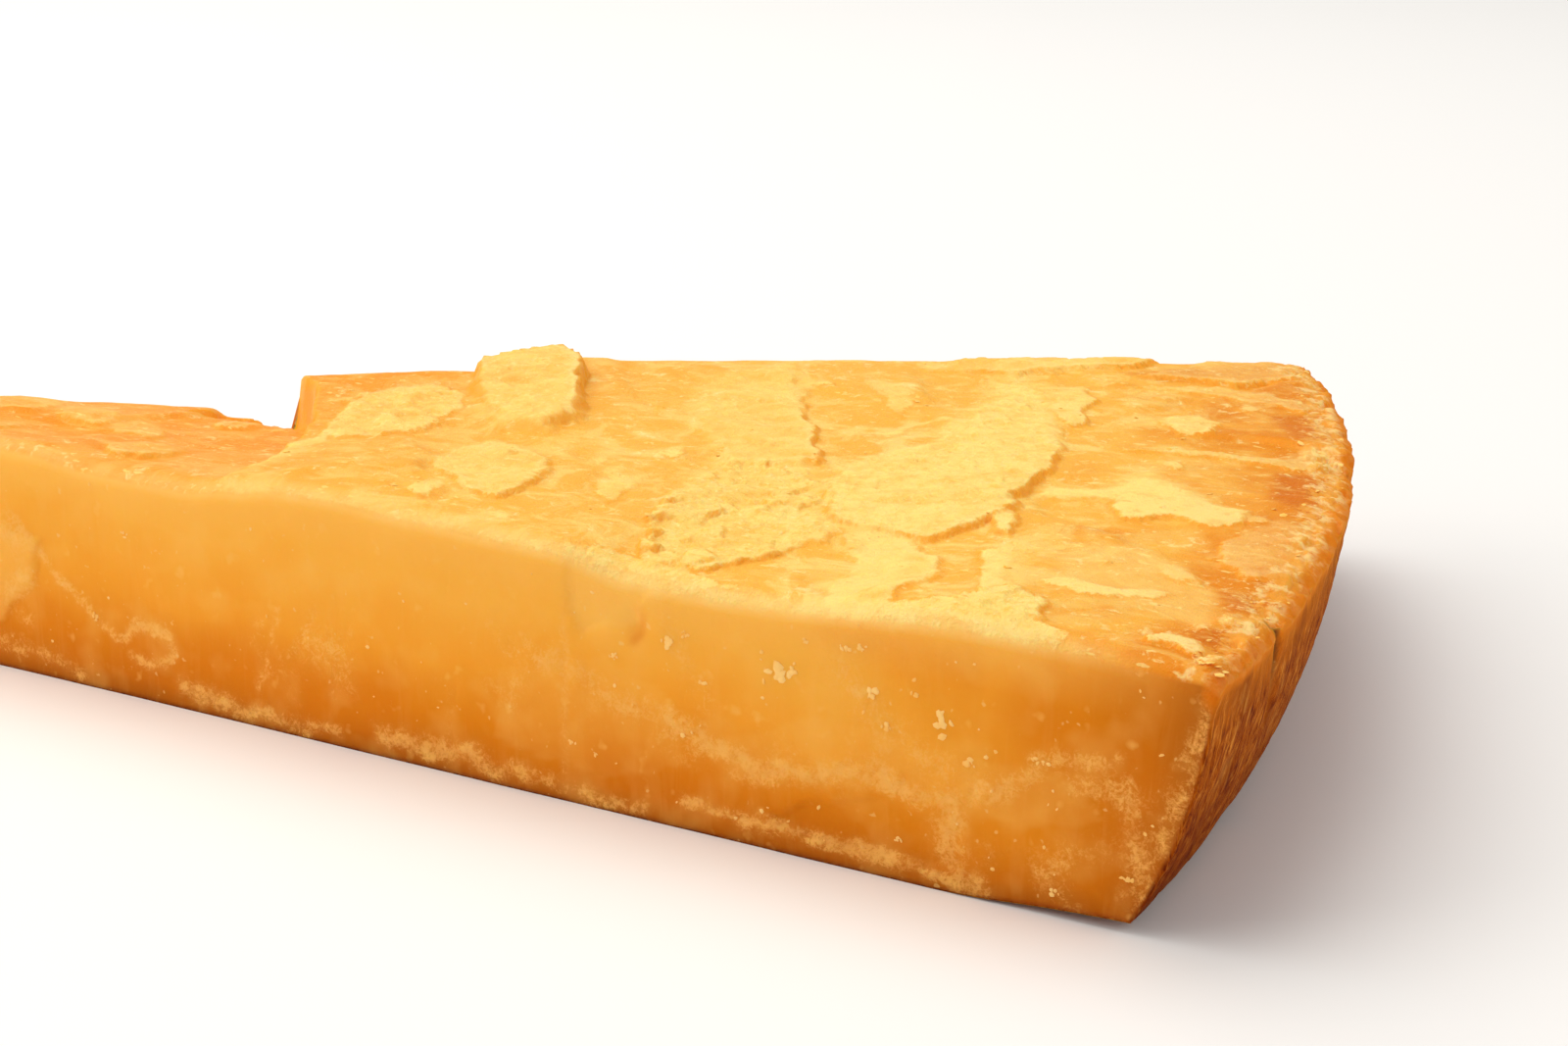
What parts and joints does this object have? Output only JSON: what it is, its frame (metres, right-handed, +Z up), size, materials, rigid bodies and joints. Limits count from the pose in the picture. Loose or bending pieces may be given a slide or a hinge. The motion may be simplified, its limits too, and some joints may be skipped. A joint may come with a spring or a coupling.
{
  "type": "parmesan chunk",
  "caption": "Wedge of aged hard cheese broken from the lower part of a wheel, with a waxy cut face, a flaky broken top and a brown rind on its curved end.",
  "frame": {"origin": "middle of the wedge's box, on the flat face of the wheel that it lies on", "axes": "+X from the broken point to the rind along the cut front side, +Y to the back side, +Z up"},
  "size_m": [0.2064, 0.1152, 0.0295],
  "materials": {
    "cheese": "waxy"
  },
  "bodies": {
    "root": {"parmesan_chunk": "cheese"}
  },
  "joints": []
}
